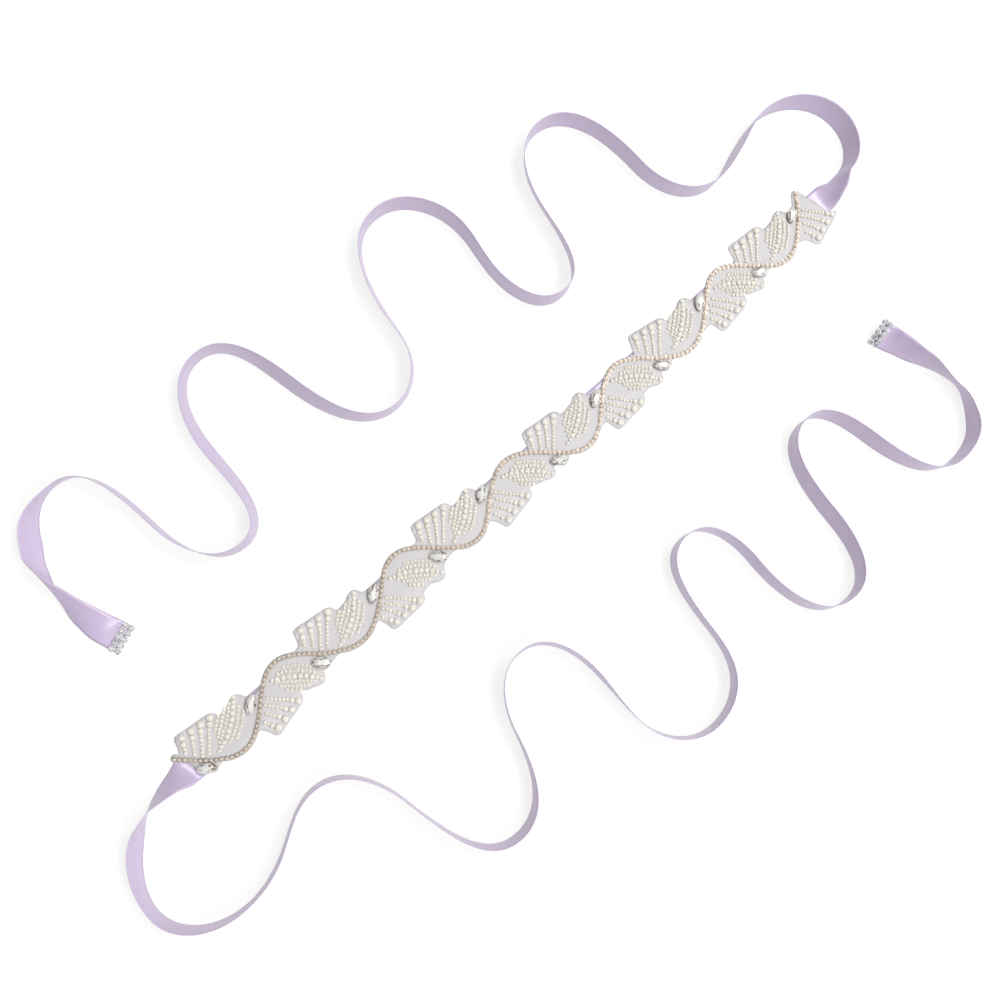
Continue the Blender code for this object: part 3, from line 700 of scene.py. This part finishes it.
# %% Lay the net
NET_WALL = 0.22
NET_ON_RIBBON, NET_FALL, FALL_WIDTH = 1.0, 0.55, 4  # height over the ribbon, and how it sinks beside it
UNEVEN, UNEVEN_LENGTH = 0.16, 8
GRID = 1.9  # mm between the points inside the net
GRID_ROW = GRID * 0.87
GRID_CORNER, GRID_SIZE = (-222, -19), (492, 44)
NEAR_EDGE = 0.8  # mm squared: no point of the grid is this near to the edge


def net_height(x, y):
    """Middle of the net: raised by the ribbon, lower beyond it, a little uneven everywhere."""
    beyond = max(0.0, abs(y - RIBBON_Y) - RIBBON_WIDTH / 2)
    fall = min(1.0, beyond / FALL_WIDTH)
    smooth = fall * fall * (3 - 2 * fall)
    swell = noise.noise(Vector((x / UNEVEN_LENGTH, y / UNEVEN_LENGTH, 2.0))) * (0.4 + 0.6 * smooth)
    return NET_ON_RIBBON - NET_FALL * smooth + UNEVEN * swell


def inside(x, y):
    """Even-odd test against the edge."""
    odd = False
    for a, b in zip(edge, edge[1:] + edge[:1]):
        if (a.y > y) != (b.y > y) and x < a.x + (y - a.y) / (b.y - a.y) * (b.x - a.x):
            odd = not odd
    return odd


spots = list(edge)
for row in range(round(GRID_SIZE[1] / GRID_ROW)):
    y = GRID_CORNER[1] + row * GRID_ROW
    for column in range(round(GRID_SIZE[0] / GRID)):
        x = GRID_CORNER[0] + (column + row % 2 / 2) * GRID
        near = min((p - Vector((x, y))).length_squared for p in edge)
        if near > NEAR_EDGE and inside(x, y):
            spots.append(Vector((x, y)))
loop = [(n, (n + 1) % len(edge)) for n in range(len(edge))]
corners, _, triangles, *_ = delaunay_2d_cdt(spots, loop, [], 1, 1e-5)
sheet = bmesh.new()
made = [sheet.verts.new(place(c.x, c.y, net_height(c.x, c.y))) for c in corners]
for triangle in triangles:
    sheet.faces.new([made[n] for n in triangle])
bmesh.ops.recalc_face_normals(sheet, faces=sheet.faces)
net = finish_piece("net_ground", sheet, net_finish, ["net_applique"])
thick = net.modifiers.new("wall", "SOLIDIFY")
thick.thickness, thick.offset = NET_WALL * MM, 0


def on_net(x, y):
    """The top of the net here, in metres."""
    return place(x, y, net_height(x, y) + NET_WALL / 2)


# %% [markdown]
# ## Pearls and seed beads
#
# Each fan has four rows that run out from the chain, and each row ends in a medium and a large pearl. Each
# leaf has a spine of pearls with smaller ones at its ends, three rows of seed beads on the fan's side and
# two on the other, all bowed a little like ribs. No two are sewn quite alike, so every bead is nudged by a
# repeatable random amount.

# %% Patterns of the beads
SEED, SMALL_PEARL, PEARL, LARGE_PEARL = 1.05, 1.2, 1.5, 1.75  # radii in mm
FLATTENED = 0.72  # height of a bead over its breadth
NUDGE, TILT = 0.12, 0.15  # mm to each side, and radians


def ball(name, radius, sides, rings):
    """A flattened bead with so many sides and rings."""
    bm = bmesh.new()
    bmesh.ops.create_uvsphere(bm, u_segments=sides, v_segments=rings, radius=radius * MM)
    bmesh.ops.scale(bm, verts=bm.verts, vec=(1, 1, FLATTENED))
    # the operator makes its faces in another order each time, so they are put in order by their corners
    bm.verts.index_update()
    bm.faces.sort(key=lambda face: 1000 * min(v.index for v in face.verts) + sum(v.index for v in face.verts))
    return to_mesh(name, bm)


balls = {
    SEED: ball("seed", SEED, 8, 6), SMALL_PEARL: ball("small_pearl", SMALL_PEARL, 10, 7),
    PEARL: ball("pearl", PEARL, 12, 8), LARGE_PEARL: ball("large_pearl", LARGE_PEARL, 14, 9),
}


def sew_bead(bm, radius, x, y):
    """A bead on the net here, pressed a little into it, nudged and turned."""
    x, y = x + dice.uniform(-NUDGE, NUDGE), y + dice.uniform(-NUDGE, NUDGE)
    half = radius * FLATTENED
    # low in the net, but never so low that it would sink into the table
    spot = place(x, y, max(net_height(x, y) + NET_WALL / 2 + half * 0.4, half * 1.08))
    turn, tip, size = dice.uniform(0, 6.28), dice.uniform(-TILT, TILT), dice.uniform(0.95, 1.04)
    stamp(bm, balls[radius], stand(spot, turn, tip, size))


print("Faces for each radius:", {radius: len(mesh.polygons) for radius, mesh in balls.items()})

# %% Fans
FAN_ROWS, FAN_PITCH, FAN_ANGLE, FAN_ANGLE_STEP = 4, 5.65, 63, -5
MEDIUM_AT, SEEDS_FROM, SEED_PITCH, MOST_SEEDS = 3.3, 5.75, 2.05, 14
ROW_LENGTH, ROW_LENGTH_STEP = 9.5, 3.3  # of the first row, and how much longer each next one is
CLEAR_OF_VINE = 2.2
VINE_STEPS = 30
vine_line = [
    vine_at(number, step / VINE_STEPS) for number in range(len(VINE) - 1) for step in range(VINE_STEPS)
]
vine_line += [vine_at(len(VINE) - 2, 1), Vector(VINE_END)]
vine_line.insert(0, Vector(VINE_START))


def from_vine(point):
    """Distance to the chain."""
    return min((point - p).length for p in vine_line)


fan_pearls, fan_seeds = bmesh.new(), bmesh.new()
for number, fan in enumerate(FANS):
    side = side_of(number)
    for row in range(FAN_ROWS):
        head = Vector((fan.x, fan.y)) + turned_by((FAN_PITCH * row, 0), -side * fan.tilt)
        way = turned_by((-1, 0), side * (FAN_ANGLE + FAN_ANGLE_STEP * row))
        sew_bead(fan_pearls, LARGE_PEARL, *head)
        sew_bead(fan_pearls, PEARL, *(head + way * MEDIUM_AT))
        for seed in range(MOST_SEEDS):
            spot = head + way * (SEEDS_FROM + SEED_PITCH * seed)
            if from_vine(spot) < CLEAR_OF_VINE or (spot - head).length > ROW_LENGTH + ROW_LENGTH_STEP * row:
                break
            sew_bead(fan_seeds, SEED, *spot)
finish_piece("fan_pearls", fan_pearls, pearl_finish)
finish_piece("fan_seed_beads", fan_seeds, seed_finish)

# %% Leaves
LeafRow = namedtuple("LeafRow", "y bow from_x to_x pitch radius")  # in the leaf's frame, from its spine
SPINE_PITCH, SPINE_BOW = 3.0, 0.012
LEAF_ROWS = [
    LeafRow(7.4, -0.012, -4.6, 2.0, SEED_PITCH, SEED), LeafRow(5.0, -0.002, -8.0, 6.4, SEED_PITCH, SEED),
    LeafRow(2.6, 0.006, -10.6, 9.6, SEED_PITCH, SEED), LeafRow(0, SPINE_BOW, -9.9, 8.2, SPINE_PITCH, PEARL),
    LeafRow(-2.8, 0.014, -9.6, 9.4, SEED_PITCH, SEED), LeafRow(-5.4, 0.014, -6.4, 7.4, SEED_PITCH, SEED),
]
SPINE_ENDS = [-12.5, -14.9, 10.9, 13.3]  # x of the small pearls past both ends of the spine
# how far the spine of each leaf lies off its middle
SPINE_OFF = [1.0, -2.0, -0.3, -2.5, 0.3, -1.1, -0.7, -1.6, -0.1, -0.9, -0.9]
leaf_pearls, leaf_seeds = bmesh.new(), bmesh.new()
for number, (leaf, off) in enumerate(zip(LEAVES, SPINE_OFF)):
    side = side_of(number)

    def at_leaf(x, y):
        """A point of this leaf on the net."""
        return Vector((leaf.x, leaf.y)) + turned_by((x, side * (y + off)), side * leaf.tilt)

    for row in LEAF_ROWS:
        count = round((row.to_x - row.from_x) / row.pitch)
        for bead in range(count + 1):
            x = row.from_x + (row.to_x - row.from_x) * bead / count
            target = leaf_pearls if row.radius == PEARL else leaf_seeds
            sew_bead(target, row.radius, *at_leaf(x, row.y + row.bow * x * x))
    for x in SPINE_ENDS:
        spot = at_leaf(x, SPINE_BOW * x * x)
        if from_vine(spot) > CLEAR_OF_VINE:
            sew_bead(leaf_pearls, SMALL_PEARL, *spot)
finish_piece("leaf_pearls", leaf_pearls, pearl_finish)
finish_piece("leaf_seed_beads", leaf_seeds, seed_finish)

# %% [markdown]
# ## Stones
#
# A cut stone is a stack of rings. A cone makes the first two, and the upper face is then lifted out of the
# solid once for each further ring. Where a ring is turned by half a step, the sides between it and the last
# one become slanted triangles, which is how the crown of a real stone is cut. Cups and claws are made the
# same way.

# %% Helper: a stack of rings
# the height of a ring, its share of the radius, and whether it is turned by half a step
Ring = namedtuple("Ring", "z share turned", defaults=(False,))


def stack(rings, sides, radius):
    """A closed solid through the rings, from the lowest."""
    bm = bmesh.new()
    first, second = rings[:2]
    cone = bmesh.ops.create_cone(
        bm, segments=sides, radius1=radius * first.share * MM, radius2=radius * second.share * MM,
        depth=(second.z - first.z) * MM, cap_ends=True,
    )["verts"]
    bmesh.ops.translate(bm, verts=cone, vec=(0, 0, (first.z + second.z) / 2 * MM))
    top = max({f for v in cone for f in v.link_faces}, key=lambda f: f.calc_center_median().z)
    for below_ring, ring in zip(rings[1:], rings[2:]):
        top = bmesh.ops.extrude_discrete_faces(bm, faces=[top])["faces"][0]
        share = ring.share / below_ring.share
        bmesh.ops.scale(bm, verts=top.verts, vec=(share, share, 1))
        bmesh.ops.translate(bm, verts=top.verts, vec=(0, 0, (ring.z - below_ring.z) * MM))
        if ring.turned:
            bmesh.ops.rotate(bm, verts=top.verts, matrix=Matrix.Rotation(math.pi / sides, 3, "Z"))
            around = {f for v in top.verts for f in v.link_faces if f is not top}
            bmesh.ops.triangulate(bm, faces=list(around))
    return bm


def peg(bm, x, y, low, high, width, lean_in):
    """A claw: a small tapered peg beside a stone, its head bent in over it."""
    made = bmesh.ops.create_cone(
        bm, segments=5, radius1=width * MM, radius2=width * 0.7 * MM, depth=(high - low) * MM, cap_ends=True,
    )["verts"]
    middle = (low + high) / 2 * MM
    bmesh.ops.translate(bm, verts=made, vec=(x * MM, y * MM, middle))
    for v in made:
        if v.co.z > middle:
            v.co -= Vector((v.co.x, v.co.y, 0)) * lean_in


def four_claws(bm, reach, low, high, width, lean_in):
    """Claws at the corners of a square round a cup."""
    for quarter in range(4):
        turn = math.pi / 4 + quarter * math.pi / 2
        peg(bm, reach * math.cos(turn), reach * math.sin(turn), low, high, width, lean_in)


print("Stack, peg and claws ready")

# %% [markdown]
# The chain is some two hundred small round stones, each in a pale gold cup with four claws and a link to
# the next cup. One cup and one stone are modelled and then stamped along the swinging line at even steps.

# %% The chain of stones
CHAIN_PITCH, CHAIN_STONE, CHAIN_CUP = 2.65, 1.02, 1.22  # from stone to stone, and the two radii
CHAIN_CUP_RINGS = [Ring(0, 0.8), Ring(0.25, 1.0), Ring(0.95, 1.04), Ring(0.95, 0.86), Ring(0.6, 0.8)]
CHAIN_STONE_RINGS = [Ring(0.65, 0.7), Ring(0.95, 1.0), Ring(1.1, 1.0), Ring(1.6, 0.52, True)]
LINK_WIDTH, LINK_WALL, LINK_HEIGHT = 0.5, 0.25, 0.3
cup_mesh = stack(CHAIN_CUP_RINGS, 10, CHAIN_CUP)
four_claws(cup_mesh, reach=1.12, low=0.5, high=1.45, width=0.24, lean_in=0.22)
link = bmesh.ops.create_cube(cup_mesh, size=1)["verts"]
bmesh.ops.scale(cup_mesh, verts=link, vec=(CHAIN_PITCH * MM, LINK_WIDTH * MM, LINK_WALL * MM))
bmesh.ops.translate(cup_mesh, verts=link, vec=(CHAIN_PITCH / 2 * MM, 0, LINK_HEIGHT * MM))
cup = to_mesh("chain_cup", cup_mesh)
stone = to_mesh("chain_stone", stack(CHAIN_STONE_RINGS, 8, CHAIN_STONE))

chain_cups, chain_stones = bmesh.new(), bmesh.new()
walk, total = [0.0], 0.0
for a, b in zip(vine_line, vine_line[1:]):
    total += (b - a).length
    walk.append(total)
links = round(total / CHAIN_PITCH)
for n in range(links + 1):
    far = min(total * n / links, total - 1e-6)
    leg = max(i for i, w in enumerate(walk) if w <= far)
    a, b = vine_line[leg], vine_line[leg + 1]
    spot = a.lerp(b, (far - walk[leg]) / (walk[leg + 1] - walk[leg]))
    along = math.atan2(b.y - a.y, b.x - a.x)
    matrix = stand(on_net(spot.x, spot.y), along, dice.uniform(-0.12, 0.12))
    stamp(chain_cups, cup, matrix)
    stamp(chain_stones, stone, matrix @ Matrix.Rotation(dice.uniform(0, 0.8), 4, "Z"))
finish_piece("chain_cups", chain_cups, gold, ["vine_beads"], smooth=False)
finish_piece("chain_stones", chain_stones, champagne_stone, smooth=False)
print(f"{links + 1} stones over {total:.0f} mm")

# %% [markdown]
# Each pointed crystal is a navette: an oval drawn out to a point at both ends. It is cut round first, as
# rings on a circle, and then drawn out, so its facets stretch with it. It sits in a gold setting with claws
# at the points and the shoulders, over a mirror foil that throws the light back.

# %% The pointed crystals
NAVETTE = (5.35, 2.9)  # half length and half breadth, mm
SETTING = (5.05, 2.6)  # hidden below the edge of the stone
POINTED = 1.3  # power that draws the round ends out to points
SETTING_RINGS = [Ring(0, 0.78), Ring(0.3, 1.0), Ring(1.5, 1.0), Ring(1.5, 0.9), Ring(1.2, 0.85)]
SETTING_CLAWS = ((5.25, 0), (-5.25, 0), (2.7, 2.25), (2.7, -2.25), (-2.7, 2.25), (-2.7, -2.25))
FOIL_RINGS = [Ring(0.7, 0.25), Ring(1.45, 0.9)]
CROWN_RINGS = [Ring(1.5, 0.9), Ring(1.75, 1.0), Ring(1.95, 1.0), Ring(2.7, 0.72, True), Ring(3.1, 0.42, True)]


def draw_out(bm, size):
    """Draws what was built on a circle of 1 mm out to a navette of this half length and half breadth."""
    for v in bm.verts:
        radius = math.hypot(v.co.x, v.co.y)
        if radius > 1e-9:
            x, y = v.co.x / radius, v.co.y / radius
            v.co.x, v.co.y = x * radius * size[0], math.copysign(abs(y) ** POINTED, y) * radius * size[1]
    return bm


setting_mesh = draw_out(stack(SETTING_RINGS, 24, 1.0), SETTING)
for x, y in SETTING_CLAWS:
    peg(setting_mesh, x, y, low=1.0, high=2.6, width=0.36, lean_in=0.17)
setting = to_mesh("navette_setting", setting_mesh)
foil_cup = to_mesh("navette_foil", draw_out(stack(FOIL_RINGS, 12, 1.0), NAVETTE))
navette = to_mesh("navette", draw_out(stack(CROWN_RINGS, 12, 1.0), NAVETTE))
for number, spot in enumerate(CRYSTALS, 1):
    turn = -side_of(number - 1) * math.radians(spot.tilt)
    matrix = stand(on_net(spot.x, spot.y), turn, dice.uniform(-0.06, 0.06))
    for kind, shape, finish, replaced in (
        ("setting", setting, gold, [f"crystal_{number:02d}"]), ("stone", navette, clear_stone, ()),
        ("foil", foil_cup, foil, ()),
    ):
        bm = bmesh.new()
        stamp(bm, shape, matrix)
        finish_piece(f"crystal_{kind}_{number:02d}", bm, finish, replaced, smooth=False)

# %% [markdown]
# ## The tips
#
# Two rows of five round stones close each end of the ribbon, on the face that looks up. They are larger
# than the chain's and stand in silver cups, and the outer row hangs a little past the ribbon's cut end.

# %% Trims of the tips
TIP_ROWS, TIP_STONES = 2, 5
TIP_PITCH, TIP_STONE, TIP_CUP, TIP_OVERHANG = 3.45, 1.55, 1.72, 1.5
TIP_CUP_RINGS = [Ring(0, 0.8), Ring(0.3, 1.0), Ring(1.2, 1.03), Ring(1.2, 0.88), Ring(0.8, 0.84)]
TIP_STONE_RINGS = [Ring(0.85, 0.7), Ring(1.2, 1.0), Ring(1.4, 1.0), Ring(2.0, 0.6, True)]
tip_cup_mesh = stack(TIP_CUP_RINGS, 14, TIP_CUP)
four_claws(tip_cup_mesh, reach=1.6, low=0.7, high=1.95, width=0.3, lean_in=0.2)
tip_cup = to_mesh("tip_cup", tip_cup_mesh)
tip_stone = to_mesh("tip_stone", stack(TIP_STONE_RINGS, 10, TIP_STONE))
for side, stand_at in (("upper", upper[-1]), ("lower", lower[-1])):
    across = across_of(stand_at)
    out = stand_at.heading.cross(across)
    if out.z < 0:
        out = -out
    end = stand_at.point + UP * middle_height(stand_at)
    axes = Matrix((stand_at.heading, out.cross(stand_at.heading), out)).transposed().to_4x4()
    metal, gems = bmesh.new(), bmesh.new()
    for row in range(TIP_ROWS):
        for stone_number in range(TIP_STONES):
            spot = (
                end + stand_at.heading * (TIP_OVERHANG - (row + 0.5) * TIP_PITCH)
                + across * ((stone_number - (TIP_STONES - 1) / 2) * TIP_PITCH) + out * (CLOTH_WALL / 2)
            )
            tip = Matrix.Rotation(dice.uniform(-0.1, 0.1), 4, "X")
            matrix = Matrix.Translation(place(*spot)) @ axes @ tip
            stamp(metal, tip_cup, matrix)
            stamp(gems, tip_stone, matrix)
    finish_piece(f"tip_cups_{side}", metal, silver, [f"tip_trim_{side}"], smooth=False)
    finish_piece(f"tip_stones_{side}", gems, tip_glass, smooth=False)

# %% [markdown]
# ## Table, light and camera
#
# A plain table carries the shadow. Most of its brightness is its own glow, as on a light table, which keeps
# the shadows faint. A large soft key light stands past the net's right end and a side light in front of it,
# so that the folds that face them are bright. A small weak light from above and a white surround fill the
# rest.

# %% Table
TABLE_HALF = 3.0  # metres
TABLE_PALE, TABLE_SHADE = (0.225, 0.225, 0.225), (0.215, 0.215, 0.215)
TABLE_GLOW, GLOW_COLOUR = 0.79, (0.99, 1, 0.98, 1)
floor_mesh = bmesh.new()
bmesh.ops.create_grid(floor_mesh, x_segments=1, y_segments=1, size=TABLE_HALF)
table = add_object("table", to_mesh("table", floor_mesh))
pale, tree, shader = new_finish(
    "pale_table", Roughness=0.9, Specular_IOR_Level=0.1, Emission_Color=GLOW_COLOUR,
    Emission_Strength=TABLE_GLOW,
)
coords = add_node(tree, "ShaderNodeTexCoord").outputs["Object"]
shade = blend_colours(tree, drift(tree, coords, 3.0, 0.0, 1.0), TABLE_PALE, TABLE_SHADE)
tree.links.new(shade, shader.inputs["Base Color"])
table.data.materials.append(pale)
print("Table laid")

# %% Light
LIGHT_REACH = 2.4  # metres from the middle of the table
SURROUND = 0.33


def toward(azimuth, height):
    """A spot for a light at this angle round the table and this angle above it, in degrees."""
    round_way, up_way = math.radians(azimuth), math.radians(height)
    flat = math.cos(up_way) * LIGHT_REACH
    return Vector((math.cos(round_way) * flat, math.sin(round_way) * flat, math.sin(up_way) * LIGHT_REACH))


def soft_light(name, azimuth, height, size, power):
    """A round soft light that shines at the middle of the table."""
    lamp = bpy.data.lights.new(name, "AREA")
    lamp.shape, lamp.size, lamp.energy = "DISK", size, power
    holder = add_object(name, lamp)
    spot = toward(azimuth, height)
    holder.matrix_world = Matrix.Translation(spot) @ (-spot).to_track_quat("-Z", "Y").to_matrix().to_4x4()


soft_light("key", 0, 64, 1.0, 33.0)
soft_light("side", -88, 58, 1.0, 28.0)
soft_light("top", 141, 79, 0.9, 4.0)
world = bpy.data.worlds.new("surround")
world.use_nodes = True
world.node_tree.nodes["Background"].inputs["Color"].default_value = (1, 1, 1, 1)
world.node_tree.nodes["Background"].inputs["Strength"].default_value = SURROUND
bpy.context.scene.world = world
bpy.context.scene.view_settings.view_transform = "Standard"
print("Three lights and a surround")

# %% [markdown]
# The camera looks down from above the left half of the net, leaning 10 degrees toward its right end, and is
# rolled so that the net climbs from the lower left of the view to the upper right.

# %% Camera
CAMERA_LEAN, CAMERA_ROLL = math.radians(10.2), math.radians(42)
CAMERA_SPOT = (-109.8, 0.0, 610.2)
FOCAL_LENGTH, SENSOR = 40.58, 36.0
side_way = Vector((math.cos(CAMERA_LEAN), 0, math.sin(CAMERA_LEAN)))
front_way = Vector((0, 1, 0))
right = side_way * math.cos(CAMERA_ROLL) - front_way * math.sin(CAMERA_ROLL)
up = side_way * math.sin(CAMERA_ROLL) + front_way * math.cos(CAMERA_ROLL)
turned = Matrix((right, up, right.cross(up))).transposed().to_4x4()
lens = bpy.data.cameras.new("camera")
lens.lens, lens.sensor_width, lens.sensor_fit = FOCAL_LENGTH, SENSOR, "AUTO"
camera = add_object("camera", lens)
camera.matrix_world = Matrix.Translation(place(*CAMERA_SPOT)) @ turned
bpy.context.scene.camera = camera
print("Camera at", [round(c, 3) for c in camera.location])
